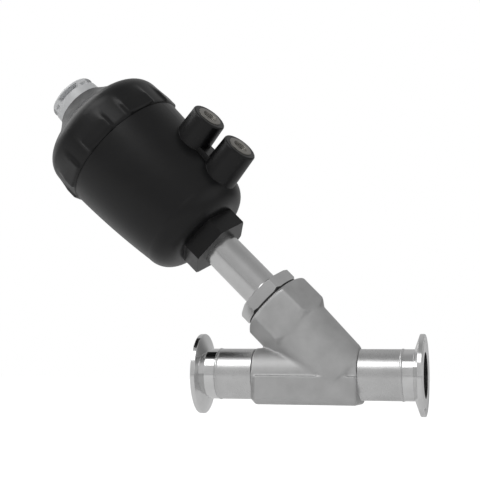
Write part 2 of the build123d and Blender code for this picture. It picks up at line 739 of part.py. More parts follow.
# ---------------------------------------------------------------- piston
with BuildPart() as piston:
    with BuildSketch(ACTUATOR_SECTION):
        with BuildLine():
            Polyline(
                (PISTON_STUD_RADIUS + FITTED_GAP, piston_foot),
                (PISTON_HUB_RADIUS, piston_foot),
                (PISTON_HUB_RADIUS, piston_web_foot),
                (piston_groove_radius - PISTON_RIM_WIDTH, piston_web_foot),
                (piston_groove_radius - PISTON_RIM_WIDTH, piston_rim_foot),
                (piston_radius, piston_rim_foot),
                (piston_radius, piston_seal_foot),
                (piston_groove_radius, piston_seal_foot),
                (piston_groove_radius, piston_seal_foot + PISTON_SEAL_HEIGHT),
                (piston_radius, piston_seal_foot + PISTON_SEAL_HEIGHT),
                (piston_radius, piston_guide_foot),
                (piston_groove_radius, piston_guide_foot),
                (piston_groove_radius, piston_guide_foot + PISTON_GUIDE_HEIGHT),
                (piston_radius, piston_guide_foot + PISTON_GUIDE_HEIGHT),
                (piston_radius, piston_rim_top),
                (piston_groove_radius - PISTON_LAND, piston_rim_top),
                (piston_groove_radius - PISTON_LAND, piston_web_top),
                (PISTON_HUB_RADIUS, piston_web_top),
                (PISTON_HUB_RADIUS, piston_top),
                (PISTON_STUD_RADIUS + FITTED_GAP, piston_top),
                close=True,
            )
        make_face()
    revolve(axis=STEM_AXIS)
finish(piston, "piston")

piston_seal = turned(
    [
        (piston_groove_radius + FITTED_GAP, piston_seal_foot),
        (CYLINDER_RADIUS - SEAL_GAP, piston_seal_foot),
        (CYLINDER_RADIUS - PISTON_SEAL_LIP, piston_seal_foot + PISTON_SEAL_HEIGHT / 2),
        (CYLINDER_RADIUS - SEAL_GAP, piston_seal_foot + PISTON_SEAL_HEIGHT),
        (piston_groove_radius + FITTED_GAP, piston_seal_foot + PISTON_SEAL_HEIGHT),
    ],
    ACTUATOR_SECTION,
)
finish(piston_seal, "piston_seal")

piston_guide_ring = sleeve(
    piston_groove_radius + FITTED_GAP,
    CYLINDER_RADIUS - RUNNING_GAP,
    piston_guide_foot,
    piston_guide_foot + PISTON_GUIDE_HEIGHT,
    ACTUATOR_SECTION,
)
finish(piston_guide_ring, "piston_guide_ring")

piston_washer = sleeve(
    PISTON_STUD_RADIUS + FITTED_GAP,
    PISTON_WASHER_RADIUS,
    piston_top,
    piston_nut_foot,
    ACTUATOR_SECTION,
)
finish(piston_washer, "piston_washer")

piston_nut = hexagon_nut(
    PISTON_NUT_FLATS,
    PISTON_STUD_RADIUS + FITTED_GAP,
    piston_nut_foot,
    piston_nut_foot + PISTON_NUT_HEIGHT,
    ACTUATOR,
    ACTUATOR_SECTION,
)
finish(piston_nut, "piston_nut")

indicator_foot = piston_nut_foot + PISTON_NUT_HEIGHT
indicator_rod = turned(
    [
        (PISTON_STUD_RADIUS + FITTED_GAP, indicator_foot),
        (INDICATOR_SOCKET_RADIUS, indicator_foot),
        (INDICATOR_SOCKET_RADIUS, indicator_foot + INDICATOR_SOCKET_HEIGHT),
        (INDICATOR_ROD_RADIUS, indicator_foot + INDICATOR_SOCKET_HEIGHT),
        (INDICATOR_ROD_RADIUS, indicator_tip_foot),
        (0, indicator_tip_foot),
        (0, stud_top),
        (PISTON_STUD_RADIUS + FITTED_GAP, stud_top),
    ],
    ACTUATOR_SECTION,
)
finish(indicator_rod, "indicator_rod")

with BuildPart() as indicator_tip:
    with BuildSketch(ACTUATOR.offset(indicator_tip_foot)):
        Circle(INDICATOR_TIP_RADIUS)
    extrude(amount=INDICATOR_TIP_LENGTH)
    fillet(indicator_tip.edges().filter_by(GeomType.CIRCLE), INDICATOR_TIP_EDGE)
finish(indicator_tip, "indicator_tip")

# ---------------------------------------------------------------- springs
outer_spring = coil(
    OUTER_SPRING_RADIUS,
    OUTER_SPRING_WIRE,
    OUTER_SPRING_TURNS,
    piston_web_top,
    spring_plate_foot,
    ACTUATOR,
)
finish(outer_spring, "outer_spring")

inner_spring = coil(
    INNER_SPRING_RADIUS,
    INNER_SPRING_WIRE,
    INNER_SPRING_TURNS,
    piston_web_top,
    spring_plate_foot,
    ACTUATOR,
)
finish(inner_spring, "inner_spring")

spring_plate = sleeve(
    INDICATOR_TIP_RADIUS + SLIDING_GAP,
    SPRING_PLATE_RADIUS,
    spring_plate_foot,
    ceiling_height,
    ACTUATOR_SECTION,
)
finish(spring_plate, "spring_plate")


# ---------------------------------------------------------------- lower housing
def port_plane(height):
    """The face of an air port, seen from outside, at a height above the actuator's underside."""
    return Plane(
        origin=actuator_foot + stem_direction * height + port_direction * BOSS_REACH,
        x_dir=port_direction.cross(stem_direction),
        z_dir=port_direction,
    )


hex_foot = hexagon(
    HEX_FLATS, 0, HEX_HEIGHT + HEX_CHAMFER, HEX_CHAMFER, ACTUATOR, ACTUATOR_SECTION, HEX_TURN
)

with BuildPart() as lower_shell:
    side_middle = (SHELL_FOOT_RADIUS + SHELL_TOP_RADIUS) / 2 + SHELL_BULGE
    bowl_top = HEX_HEIGHT + BOWL_FILLET
    with BuildSketch(ACTUATOR_SECTION):
        with BuildLine():
            floor_line = Line((0, HEX_HEIGHT), (SHELL_FOOT_RADIUS - BOWL_FILLET, HEX_HEIGHT))
            RadiusArc(floor_line @ 1, (SHELL_FOOT_RADIUS, bowl_top), -BOWL_FILLET)
            ThreePointArc(
                (SHELL_FOOT_RADIUS, bowl_top),
                (side_middle, (bowl_top + SEAM_HEIGHT) / 2),
                (SHELL_TOP_RADIUS, SEAM_HEIGHT),
            )
            Polyline(
                (SHELL_TOP_RADIUS, SEAM_HEIGHT),
                (SPIGOT_RADIUS, SEAM_HEIGHT),
                (SPIGOT_RADIUS, spigot_top),
                (0, spigot_top),
                (0, HEX_HEIGHT),
            )
        make_face()
    revolve(axis=STEM_AXIS)

with BuildPart() as port_bosses:
    for port_height in (LOWER_PORT_HEIGHT, upper_port_height):
        port_axis = Axis(port_plane(port_height).origin, port_direction)
        with BuildSketch(ACTUATOR_SECTION) as boss_section:
            with BuildLine():
                Polyline(
                    (0, port_height),
                    (0, port_height + BOSS_RADIUS + BOSS_FLARE),
                    (CYLINDER_RADIUS, port_height + BOSS_RADIUS + BOSS_FLARE),
                    (BOSS_REACH, port_height + BOSS_RADIUS),
                    (BOSS_REACH, port_height),
                    close=True,
                )
            make_face()
        revolve(axis=port_axis)
    fillet(port_bosses.edges().group_by(Axis((0, 0, 0), port_direction))[-1], BOSS_EDGE)
    with BuildSketch(ACTUATOR.offset(LOWER_PORT_HEIGHT)):
        with Locations((WEB_REACH / 2, 0)):
            Rectangle(WEB_REACH, WEB_WIDTH)
    extrude(amount=upper_port_height - LOWER_PORT_HEIGHT)

with BuildPart() as lower_cavity:
    cylinder_corner = CYLINDER_RADIUS - CYLINDER_FLOOR_FILLET
    with BuildSketch(ACTUATOR_SECTION):
        with BuildLine():
            Polyline(
                (cylinder_corner, CYLINDER_FLOOR),
                (HUB_RADIUS, CYLINDER_FLOOR),
                (HUB_RADIUS, hub_top),
                (0, hub_top),
                (0, spigot_top),
                (UPPER_BORE_RADIUS, spigot_top),
                (UPPER_BORE_RADIUS, cylinder_top + UPPER_BORE_RADIUS - CYLINDER_RADIUS),
                (CYLINDER_RADIUS, cylinder_top),
                (CYLINDER_RADIUS, CYLINDER_FLOOR + CYLINDER_FLOOR_FILLET),
            )
            RadiusArc(
                (CYLINDER_RADIUS, CYLINDER_FLOOR + CYLINDER_FLOOR_FILLET),
                (cylinder_corner, CYLINDER_FLOOR),
                CYLINDER_FLOOR_FILLET,
            )
        make_face()
    revolve(axis=STEM_AXIS)

with BuildPart() as lower_housing:
    add(lower_shell.part)
    add(hex_foot.part)
    add(port_bosses.part)
    add(lower_cavity.part, mode=Mode.SUBTRACT)
    with BuildSketch(ACTUATOR):
        Circle(YOKE_RADIUS + RUNNING_GAP)
    extrude(amount=YOKE_SEAT_DEPTH, mode=Mode.SUBTRACT)
    with BuildSketch(ACTUATOR):
        Circle(YOKE_NECK_RADIUS + RUNNING_GAP)
    extrude(amount=hub_top, mode=Mode.SUBTRACT)
    for groove_height, groove_inner, groove_outer in (
        (YOKE_SEAL_HEIGHT, YOKE_NECK_RADIUS, YOKE_NECK_RADIUS + SEAL_SECTION * 2),
        (SEAM_HEIGHT + SPIGOT_SEAL_HEIGHT, SPIGOT_RADIUS - SEAL_SECTION * 2, SPIGOT_RADIUS),
    ):
        with BuildSketch(ACTUATOR.offset(groove_height - SEAL_GROOVE_WIDTH / 2)):
            Circle(groove_outer + FITTED_GAP)
            Circle(groove_inner - FITTED_GAP, mode=Mode.SUBTRACT)
        extrude(amount=SEAL_GROOVE_WIDTH, mode=Mode.SUBTRACT)
    for port_height in (LOWER_PORT_HEIGHT, upper_port_height):
        with BuildSketch(port_plane(port_height)):
            Circle(INSERT_RADIUS)
        extrude(amount=-INSERT_LENGTH, mode=Mode.SUBTRACT)
        with BuildSketch(port_plane(port_height)):
            Circle(AIRWAY_RADIUS)
        extrude(amount=CYLINDER_RADIUS - BOSS_REACH - PISTON_LAND, mode=Mode.SUBTRACT)
finish(lower_housing, "lower_housing")

yoke_seal = o_ring(
    YOKE_NECK_RADIUS + FITTED_GAP,
    YOKE_NECK_RADIUS + SEAL_SECTION * 2,
    YOKE_SEAL_HEIGHT,
    ACTUATOR_SECTION,
)
finish(yoke_seal, "yoke_seal")

housing_seal = o_ring(
    SPIGOT_RADIUS - SEAL_SECTION * 2,
    SPIGOT_RADIUS,
    SEAM_HEIGHT + SPIGOT_SEAL_HEIGHT,
    ACTUATOR_SECTION,
)
finish(housing_seal, "housing_seal")


def port_insert(height):
    """A threaded metal insert moulded into an air port, drawn at its tapping size."""
    with BuildPart() as insert:
        with BuildSketch(port_plane(height)):
            Circle(INSERT_RADIUS - FITTED_GAP)
        extrude(amount=INSERT_COLLAR_HEIGHT)
        extrude(insert.faces().sort_by(Axis((0, 0, 0), port_direction))[0], INSERT_LENGTH)
        with Locations(port_plane(height).offset(INSERT_COLLAR_HEIGHT)):
            CounterSinkHole(PORT_THREAD_RADIUS, PORT_COUNTERSINK_RADIUS)
    return insert


lower_port_insert = port_insert(LOWER_PORT_HEIGHT)
finish(lower_port_insert, "lower_port_insert")

upper_port_insert = port_insert(upper_port_height)
finish(upper_port_insert, "upper_port_insert")

# ---------------------------------------------------------------- upper housing
with BuildPart() as dome:
    with BuildSketch(ACTUATOR_SECTION):
        with BuildLine():
            Polyline(
                (0, dome_top),
                (0, SEAM_HEIGHT),
                (SKIRT_RADIUS - SKIRT_LIP, SEAM_HEIGHT),
                (SKIRT_RADIUS, SEAM_HEIGHT + SKIRT_LIP),
                (SKIRT_RADIUS, shoulder_height),
            )
            shoulder = JernArc(
                (SKIRT_RADIUS, shoulder_height),
                (0, 1),
                DOME_SHOULDER_FILLET,
                DOME_SHOULDER_SWEEP,
            )
            crown = TangentArc(
                shoulder @ 1, (DOME_TOP_RADIUS, dome_top), tangent=shoulder % 1
            )
            Line(crown @ 1, (0, dome_top))
        make_face()
    revolve(axis=STEM_AXIS)

with BuildPart() as grips:
    with BuildSketch(ACTUATOR.offset(grip_bottom)):
        grip_middle = GRIP_REACH - GRIP_THICKNESS / 2
        with PolarLocations(grip_middle, GRIP_COUNT, start_angle=180 / GRIP_COUNT):
            Rectangle(GRIP_THICKNESS, GRIP_WIDTH)
    extrude(amount=grip_top - grip_bottom)
    with BuildSketch(ACTUATOR_SECTION):
        with BuildLine():
            corner_reach = GRIP_REACH + GRIP_THICKNESS / 2
            lean_rise = GRIP_THICKNESS * tan(radians(GRIP_TOP_LEAN))
            Polyline(
                (0, grip_bottom),
                (corner_reach - GRIP_EDGE * 3, grip_bottom),
                (corner_reach, grip_bottom + GRIP_EDGE),
                (corner_reach, grip_top - lean_rise * 1.5),
                (GRIP_REACH - GRIP_THICKNESS, grip_top),
                (0, grip_top),
                close=True,
            )
        make_face()
    revolve(axis=STEM_AXIS, mode=Mode.INTERSECT)

with BuildPart() as upper_cavity:
    ceiling_corner = UPPER_BORE_RADIUS - CEILING_FILLET
    with BuildSketch(ACTUATOR_SECTION):
        with BuildLine():
            Polyline(
                (0, ceiling_height),
                (0, SEAM_HEIGHT),
                (SPIGOT_RADIUS + THREAD_GAP, SEAM_HEIGHT),
                (SPIGOT_RADIUS + THREAD_GAP, spigot_top + THREAD_GAP),
                (UPPER_BORE_RADIUS, spigot_top + THREAD_GAP),
                (UPPER_BORE_RADIUS, ceiling_height - CEILING_FILLET),
            )
            RadiusArc(
                (UPPER_BORE_RADIUS, ceiling_height - CEILING_FILLET),
                (ceiling_corner, ceiling_height),
                -CEILING_FILLET,
            )
            Line((ceiling_corner, ceiling_height), (0, ceiling_height))
        make_face()
    revolve(axis=STEM_AXIS)

with BuildPart() as upper_housing:
    add(dome.part)
    add(grips.part)
    add(upper_cavity.part, mode=Mode.SUBTRACT)
    with BuildSketch(ACTUATOR.offset(ceiling_height)):
        Circle(INDICATOR_TIP_RADIUS + SLIDING_GAP)
    extrude(amount=dome_top - ceiling_height, mode=Mode.SUBTRACT)
    with BuildSketch(ACTUATOR.offset(dome_top)):
        Circle(CAP_SPIGOT_RADIUS + THREAD_GAP)
    extrude(amount=-CAP_SPIGOT_LENGTH - FITTED_GAP, mode=Mode.SUBTRACT)
    with BuildSketch(ACTUATOR.offset(dome_top)):
        Circle(cap_seal_inner + SEAL_SECTION * 2 + FITTED_GAP)
    extrude(amount=-SEAL_SECTION * 2, mode=Mode.SUBTRACT)
finish(upper_housing, "upper_housing")

# ---------------------------------------------------------------- indicator cap
with BuildPart() as indicator_cap:
    with BuildSketch(ACTUATOR_SECTION) as cap_section:
        with BuildLine():
            Polyline(
                (0, cap_top),
                (CAP_TOP_RADIUS, cap_top),
                (CAP_FOOT_RADIUS, dome_top),
                (CAP_SPIGOT_RADIUS, dome_top),
                (CAP_SPIGOT_RADIUS, dome_top - CAP_SPIGOT_LENGTH),
                (CAP_SPIGOT_RADIUS - CAP_WALL, dome_top - CAP_SPIGOT_LENGTH),
                (CAP_SPIGOT_RADIUS - CAP_WALL, cap_ceiling),
                (0, cap_ceiling),
                close=True,
            )
        make_face()
    revolve(axis=STEM_AXIS)
    cap_rim = indicator_cap.edges().filter_by(GeomType.CIRCLE).sort_by(STEM_AXIS)[-1]
    fillet(cap_rim, CAP_EDGE)
finish(indicator_cap, "indicator_cap")

cap_seal = o_ring(
    cap_seal_inner,
    cap_seal_inner + SEAL_SECTION * 2,
    dome_top - SEAL_SECTION,
    ACTUATOR_SECTION,
)
finish(cap_seal, "cap_seal")
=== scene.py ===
"""Looks of the angle seat valve: finishes, detailed shells, studio light and camera."""

import json
from math import cos, pi, radians, sin

import bmesh
import bpy
import numpy as np
from mathutils import Matrix, Vector


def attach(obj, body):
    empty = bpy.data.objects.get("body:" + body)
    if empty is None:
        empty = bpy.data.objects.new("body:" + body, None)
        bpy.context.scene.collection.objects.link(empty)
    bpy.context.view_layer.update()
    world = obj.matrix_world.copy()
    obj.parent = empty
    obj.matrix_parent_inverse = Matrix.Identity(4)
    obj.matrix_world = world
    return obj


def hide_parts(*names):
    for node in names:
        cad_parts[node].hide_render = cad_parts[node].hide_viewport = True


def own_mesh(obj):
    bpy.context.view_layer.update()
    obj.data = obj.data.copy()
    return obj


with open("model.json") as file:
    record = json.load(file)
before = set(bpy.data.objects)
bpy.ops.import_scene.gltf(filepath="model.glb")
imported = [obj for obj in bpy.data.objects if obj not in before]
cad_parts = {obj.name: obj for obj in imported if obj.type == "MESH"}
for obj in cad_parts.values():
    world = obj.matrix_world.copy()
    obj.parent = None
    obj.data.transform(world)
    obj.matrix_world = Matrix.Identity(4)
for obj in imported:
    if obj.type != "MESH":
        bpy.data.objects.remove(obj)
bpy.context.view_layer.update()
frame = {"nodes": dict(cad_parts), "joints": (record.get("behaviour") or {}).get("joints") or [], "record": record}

MM = 0.001
nodes = frame["nodes"]


def named(entries, name):
    """The entry of a list in the record that has this name."""
    return next(entry for entry in entries if entry["name"] == name)


# The pivot is the actuator's foot on the stem's axis; crossing is where that axis meets the pipe's.
stem_axis = Vector(named(frame["joints"], "stem_slide")["axis"]).normalized()
pivot = Vector(named(frame["joints"], "actuator_swivel")["pos_m"])
crossing = pivot - stem_axis * (pivot.z / stem_axis.z)
mounts = frame["record"]["mounts"]
port_axis = Vector(named(mounts, "upper_port")["axis"]).normalized()


# ---------------------------------------------------------------- node helpers
def new_material(name):
    """An empty node material with its output and a Principled shader."""
    material = bpy.data.materials.new(name)
    material.use_nodes = True
    tree = material.node_tree
    tree.nodes.clear()
    output = tree.nodes.new("ShaderNodeOutputMaterial")
    shader = tree.nodes.new("ShaderNodeBsdfPrincipled")
    tree.links.new(shader.outputs["BSDF"], output.inputs["Surface"])
    return material, tree, shader


def noise(tree, scale, detail=3.0, roughness=0.55, stretch=None, turn=(0, 0, 0)):
    """Noise on object coordinates, in features per metre, with an optional stretch."""
    coordinates = tree.nodes.new("ShaderNodeTexCoord")
    mapping = tree.nodes.new("ShaderNodeMapping")
    mapping.vector_type = "TEXTURE"
    mapping.inputs["Rotation"].default_value = turn
    mapping.inputs["Scale"].default_value = stretch or (1, 1, 1)
    texture = tree.nodes.new("ShaderNodeTexNoise")
    texture.inputs["Scale"].default_value = scale
    texture.inputs["Detail"].default_value = detail
    texture.inputs["Roughness"].default_value = roughness
    tree.links.new(coordinates.outputs["Object"], mapping.inputs["Vector"])
    tree.links.new(mapping.outputs["Vector"], texture.inputs["Vector"])
    return texture.outputs["Fac"]


def spread(tree, value, low, high, from_low=0.3, from_high=0.7, smooth=False):
    """Maps a value onto a range, by default from where most of a noise lies."""
    node = tree.nodes.new("ShaderNodeMapRange")
    if smooth:
        node.interpolation_type = "SMOOTHSTEP"
    node.inputs["From Min"].default_value = from_low
    node.inputs["From Max"].default_value = from_high
    node.inputs["To Min"].default_value = low
    node.inputs["To Max"].default_value = high
    tree.links.new(value, node.inputs["Value"])
    return node.outputs["Result"]


def tint(tree, value, dark, light):
    """Mixes two colours by a noise value."""
    ramp = tree.nodes.new("ShaderNodeValToRGB")
    for element, colour, place in zip(ramp.color_ramp.elements, (dark, light), (0.3, 0.7)):
        element.color = (*colour, 1)
        element.position = place
    tree.links.new(value, ramp.inputs["Fac"])
    return ramp.outputs["Color"]


BEVEL_SAMPLES = 6


def bump(tree, shader, height, distance, strength=1.0, edge=0.0):
    """Bumps the shader by a height in metres, over softly rounded edges."""
    node = tree.nodes.new("ShaderNodeBump")
    node.inputs["Strength"].default_value = strength
    node.inputs["Distance"].default_value = distance
    tree.links.new(height, node.inputs["Height"])
    if edge:
        bevel = tree.nodes.new("ShaderNodeBevel")
        bevel.samples = BEVEL_SAMPLES
        bevel.inputs["Radius"].default_value = edge
        tree.links.new(bevel.outputs["Normal"], node.inputs["Normal"])
    tree.links.new(node.outputs["Normal"], shader.inputs["Normal"])


def grey(level):
    return (level, level, level)


def shade(colour, factor):
    return tuple(channel * factor for channel in colour)


# ---------------------------------------------------------------- materials
METAL = {"metallic": 1.0}
ALONG_STEM = (0, radians(-45), 0)


def surface(
    name, dark, light, roughness, patch, depth, strength,
    grain=None, edge=0.0, metallic=0.0, specular=0.5,
):
    """A slightly patchy material; patch and its finer grain are (scale, detail) of a noise."""
    material, tree, shader = new_material(name)
    shader.inputs["Metallic"].default_value = metallic
    shader.inputs["Specular IOR Level"].default_value = specular
    patches = noise(tree, *patch)
    tree.links.new(tint(tree, patches, dark, light), shader.inputs["Base Color"])
    tree.links.new(spread(tree, patches, *roughness), shader.inputs["Roughness"])
    height = noise(tree, *grain) if grain else patches
    bump(tree, shader, height, depth, strength, edge)
    return material


def cast_steel():
    """Glass-blasted stainless casting: matt, fine-grained, slightly uneven."""
    return surface(
        "cast_steel", grey(0.47), grey(0.56), (0.50, 0.60), (90, 4.0),
        0.04 * MM, 0.3, grain=(1500, 3.0), edge=0.6 * MM, **METAL,
    )


def spring_wire():
    """Oil-tempered spring wire."""
    return surface(
        "spring_steel", grey(0.16), grey(0.28), (0.3, 0.5), (300, 3.0), 0.03 * MM, 0.3, **METAL
    )


def coloured_metal(name, colour, roughness):
    """A turned metal part of a plain colour."""
    return surface(
        name, shade(colour, 0.9), colour, roughness, (400, 3.0),
        0.03 * MM, 0.3, edge=0.2 * MM, **METAL,
    )


def moulded_plastic(name, colour, roughness, specular=0.5):
    """Moulded plastic with a fine spark-eroded grain."""
    return surface(
        name, shade(colour, 0.85), shade(colour, 1.15), roughness, (70, 4.0),
        0.05 * MM, 0.35, grain=(2600, 2.0), edge=0.5 * MM, specular=specular,
    )


def drawn_steel(name, dark, light, roughness, stretch, turn=(0, 0, 0)):
    """Bright stainless with fine lines along the way it was drawn or turned."""
    material, tree, shader = new_material(name)
    shader.inputs["Metallic"].default_value = 1.0
    lines = noise(tree, 900, 3.0, 0.6, stretch, turn)
    patches = noise(tree, 60, 3.0)
    tree.links.new(tint(tree, patches, grey(dark), grey(light)), shader.inputs["Base Color"])
    tree.links.new(spread(tree, lines, *roughness), shader.inputs["Roughness"])
    bump(tree, shader, lines, 0.012 * MM, 0.25, 0.3 * MM)
    return material


def milky_plastic(name):
    """Milky see-through moulded plastic with faint flow marks."""
    material, tree, shader = new_material(name)
    flow = noise(tree, 120, 3.0)
    dark, light = (0.70, 0.71, 0.72), (0.78, 0.79, 0.80)
    tree.links.new(tint(tree, flow, dark, light), shader.inputs["Base Color"])
    shader.inputs["Transmission Weight"].default_value = 0.12
    shader.inputs["IOR"].default_value = 1.49
    tree.links.new(spread(tree, flow, 0.18, 0.30), shader.inputs["Roughness"])
    bump(tree, shader, noise(tree, 160, 2.0), 0.1 * MM, 0.3)
    return material


finishes = {
    "cast_steel": cast_steel(),
    "tube_steel": drawn_steel("tube_steel", 0.56, 0.64, (0.26, 0.32), (0.2, 1, 1)),
    "polished_steel": drawn_steel("polished_steel", 0.66, 0.76, (0.10, 0.15), (1, 8, 8)),
    "bar_steel": drawn_steel("bar_steel", 0.54, 0.62, (0.17, 0.22), (1, 1, 12), ALONG_STEM),
    "black_plastic": moulded_plastic(
        "black_plastic", (0.005, 0.005, 0.0054), (0.30, 0.36), specular=0.3
    ),
    "piston_plastic": moulded_plastic("piston_plastic", (0.05, 0.05, 0.055), (0.4, 0.5)),
    "indicator_red": moulded_plastic("indicator_red", (0.5, 0.03, 0.02), (0.3, 0.4)),
    "white_seal": moulded_plastic("white_seal", (0.75, 0.75, 0.72), (0.35, 0.45)),
    "rubber_seal": moulded_plastic("rubber_seal", (0.015, 0.015, 0.015), (0.6, 0.7)),
    "clear_plastic": milky_plastic("clear_plastic"),
    "spring_steel": spring_wire(),
    "insert_metal": coloured_metal("insert_metal", (0.30, 0.29, 0.27), (0.35, 0.5)),
    "bearing_bronze": coloured_metal("bearing_bronze", (0.55, 0.36, 0.16), (0.35, 0.5)),
}

slot_of = {part["node"]: part["material_slot"] for part in frame["record"]["subparts"]}
for name, node in nodes.items():
    node.data.materials.clear()
    node.data.materials.append(finishes[slot_of[name]])
# Painted shade: the gap between collar and bonnet is shaded, so its white seal ring gets the dark rubber finish
# and doesn't shine out of it.
nodes["bonnet_gasket"].data.materials[0] = finishes["rubber_seal"]


# ---------------------------------------------------------------- shells
def show(name, mesh, node, body):
    """Puts a detailed mesh in a CAD node's place, on its body and with its finish."""
    piece = bpy.data.objects.new(name, mesh)
    bpy.context.scene.collection.objects.link(piece)
    mesh.materials.clear()
    mesh.materials.append(finishes[slot_of[node]])
    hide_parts(node)
    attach(piece, body)
    return piece


def remeshed(mesh, voxel):
    """A copy of a mesh as an even net of small faces."""
    holder = bpy.data.objects.new("remesh", mesh.copy())
    bpy.context.scene.collection.objects.link(holder)
    modifier = holder.modifiers.new("voxels", "REMESH")
    modifier.mode = "VOXEL"
    modifier.voxel_size = voxel
    graph = bpy.context.evaluated_depsgraph_get()
    mesh = bpy.data.meshes.new_from_object(holder.evaluated_get(graph))
    bpy.data.objects.remove(holder)
    return mesh


def relax(mesh, rounds, amount):
    """Rounds the edges and inner corners of a net; amount gives the share at each point."""
    count = len(mesh.vertices)
    points = np.empty(count * 3)
    mesh.vertices.foreach_get("co", points)
    points = points.reshape(-1, 3)
    ends = np.empty(len(mesh.edges) * 2, dtype=np.int32)
    mesh.edges.foreach_get("vertices", ends)
    start, end = ends.reshape(-1, 2).T
    neighbours = np.bincount(start, minlength=count) + np.bincount(end, minlength=count)
    share = 0.5 * amount(points) / neighbours
    for _ in range(rounds):
        for axis in range(3):
            line = points[:, axis]
            total = np.bincount(start, line[end], count) + np.bincount(end, line[start], count)
            points[:, axis] = line + share * (total - neighbours * line)
    mesh.vertices.foreach_set("co", points.ravel())
    mesh.polygons.foreach_set("use_smooth", [True] * len(mesh.polygons))
    mesh.update()
    return mesh


def about_stem(points, origin):
    """How far along the stem from an origin, and how far off its axis, each point lies."""
    offset = points - np.array(origin)
    axis = np.array(stem_axis)
    along = offset @ axis
    return along, np.linalg.norm(offset - np.outer(along, axis), axis=1)


CAST_NET = {"voxel": 0.6 * MM, "rounds": 14}
BAND_EDGE_SHARE = 0.12  # of the full rounding, below the ledge
BORE_EDGE_SHARE = 0.08
LEDGE_FADE_FOOT = -0.5 * MM
LEDGE_FADE = 4 * MM
RUN_BORE_REACH = 14.6 * MM
BRANCH_BORE_REACH = 18.2 * MM


def cast_edges(points):
    """Soft corners on branch, collar and their foot, crisp ones on the band and bores."""
    along, off_stem = about_stem(points, crossing)
    off_run = np.hypot(points[:, 1], points[:, 2])
    share = np.clip((points[:, 2] - LEDGE_FADE_FOOT) / LEDGE_FADE, BAND_EDGE_SHARE, 1.0)
    share[off_run < RUN_BORE_REACH] = BORE_EDGE_SHARE
    share[(off_stem < BRANCH_BORE_REACH) & (along > 0)] = BORE_EDGE_SHARE
    return share


DOME_NET = {"voxel": 0.75 * MM, "rounds": 8}


def moulded_edges(points):
    """Soft corners on the skirt and the dome's slope only."""
    along, off_stem = about_stem(points, pivot)
    share = np.full(len(points), 0.05)
    share[(off_stem > 43.0 * MM) & (along > 93.0 * MM)] = 1.0
    share[(off_stem > 19.0 * MM) & (along > 125.0 * MM)] = 0.6
    return share


SKIRT_RADIUS = 44.6 * MM
PAD_REACH = 45.2 * MM
PAD_TURN = radians(-3.5)
PAD_TOP_ZONE = (105 * MM, 110 * MM)
PAD_SLOPE_RISE = 2.3 * MM  # of the slope's upper end, on the skirt
PAD_SLOPE_DROP = 8.4 * MM  # from there to its lower end, on the pad's face


def dome_with_pads():
    """The upper housing; its pads end in a long slope that runs out on the dome."""
    mesh = nodes["upper_housing"].data.copy()
    turn = Matrix.Rotation(PAD_TURN, 3, stem_axis)
    skirt = SKIRT_RADIUS - 0.05 * MM
    for vertex in mesh.vertices:
        offset = vertex.co - pivot
        height = offset.dot(stem_axis)
        radial = offset - stem_axis * height
        if radial.length > skirt and PAD_TOP_ZONE[0] < height < PAD_TOP_ZONE[1]:
            share = min(1, (radial.length - SKIRT_RADIUS) / (PAD_REACH - SKIRT_RADIUS))
            height += PAD_SLOPE_RISE - PAD_SLOPE_DROP * share
        vertex.co = pivot + turn @ radial + stem_axis * height
    mesh.update()
    return mesh


def softened(mesh, voxel, rounds, amount):
    """A mesh with its edges rounded, by a net and rounds of relaxing."""
    return relax(remeshed(mesh, voxel), rounds, amount)


MERGE_DISTANCE = 0.001 * MM
SHARP_ANGLE = radians(40)


def lathe(outline, segments, axis, origin, start, radius_at):
    """A closed form turned about an axis, its radius shaped point by point."""
    side = axis.cross(start)
    points, faces = [], []
    for step in range(segments):
        angle = 2 * pi * step / segments
        spoke = start * cos(angle) + side * sin(angle)
        for radius, height in outline:
            reach = radius_at(radius, height, angle)
            points.append(origin + spoke * reach + axis * height)
    rows = len(outline)
    for step in range(segments):
        here, there = step * rows, (step + 1) % segments * rows
        for row in range(rows):
            up = (row + 1) % rows
            faces.append((here + row, there + row, there + up, here + up))
    mesh = bpy.data.meshes.new("lathe")
    mesh.from_pydata(points, [], faces)
    net = bmesh.new()
    net.from_mesh(mesh)
    bmesh.ops.remove_doubles(net, verts=net.verts, dist=MERGE_DISTANCE)
    bmesh.ops.recalc_face_normals(net, faces=net.faces)
    for face in net.faces:
        face.smooth = True
    net.to_mesh(mesh)
    net.free()
    mesh.set_sharp_from_angle(angle=SHARP_ANGLE)
    return mesh


THREAD_PITCH = 0.907 * MM
THREAD_DEPTH = 0.43 * MM
THREAD_ROWS = 96
THREAD_SEGMENTS = 72
HOLE_RADIUS = 4.43 * MM
MOUTH_DEPTH = 0.7 * MM
INSERT_RADIUS = 8.08 * MM
INSERT_EDGE = (0.4 * MM, 0.3 * MM)  # across and down


def threaded_insert(level):
    """A port insert with its pipe thread cut inside."""
    place = Vector(named(mounts, level + "_port")["pos_m"])
    vertices = nodes[level + "_port_insert"].data.vertices
    heights = [vertex.co.dot(port_axis) for vertex in vertices]
    depth = max(heights) - min(heights)
    top = place + port_axis * (max(heights) - place.dot(port_axis))
    outline = [
        (HOLE_RADIUS, depth * row / THREAD_ROWS - depth) for row in range(THREAD_ROWS + 1)
    ]
    outline += [(INSERT_RADIUS - INSERT_EDGE[0], 0), (INSERT_RADIUS, -INSERT_EDGE[1])]
    outline += [(INSERT_RADIUS, -depth)]

    def cut(radius, height, angle):
        if radius > HOLE_RADIUS:
            return radius
        wave = abs((height / THREAD_PITCH - angle / (2 * pi)) % 1 - 0.5) * 2
        mouth = max(0, height + MOUTH_DEPTH)
        return HOLE_RADIUS + max(THREAD_DEPTH * wave, mouth)

    start = port_axis.cross(Vector((0, 1, 0))).normalized()
    return lathe(outline, THREAD_SEGMENTS, port_axis, top, start, cut)


